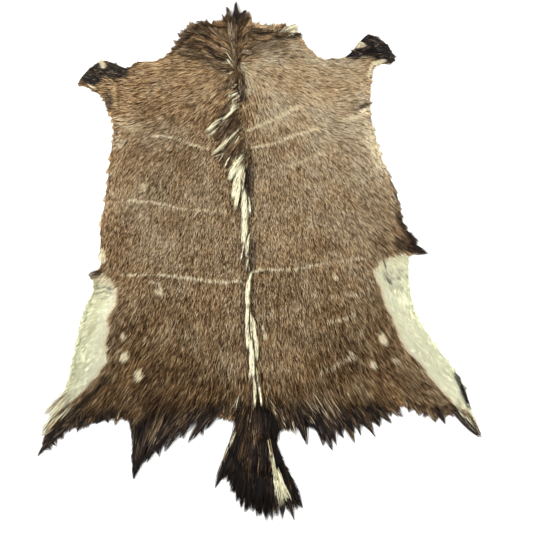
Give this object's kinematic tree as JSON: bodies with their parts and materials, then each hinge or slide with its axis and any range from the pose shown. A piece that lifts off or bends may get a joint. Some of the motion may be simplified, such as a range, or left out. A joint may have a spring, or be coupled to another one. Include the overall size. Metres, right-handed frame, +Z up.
{
  "type": "antelope hide",
  "caption": "Opened antelope skin with its hair on, lying flat hair side up, with neck flap, four leg flaps and brush tail.",
  "frame": {"origin": "under the middle of the hide's box, on the surface it lies on", "axes": "+Y along the back line from tail to neck, +X to the right as seen from the tail, +Z up through the hair"},
  "size_m": [1.0568, 1.4536, 0.0226],
  "materials": {
    "hair_coat": "brown hair lying flat, pale and dark in places, without gloss",
    "dressed_skin": "suede flesh side, off-white, matt"
  },
  "bodies": {
    "root": {"hide": "hair_coat"}
  },
  "joints": []
}
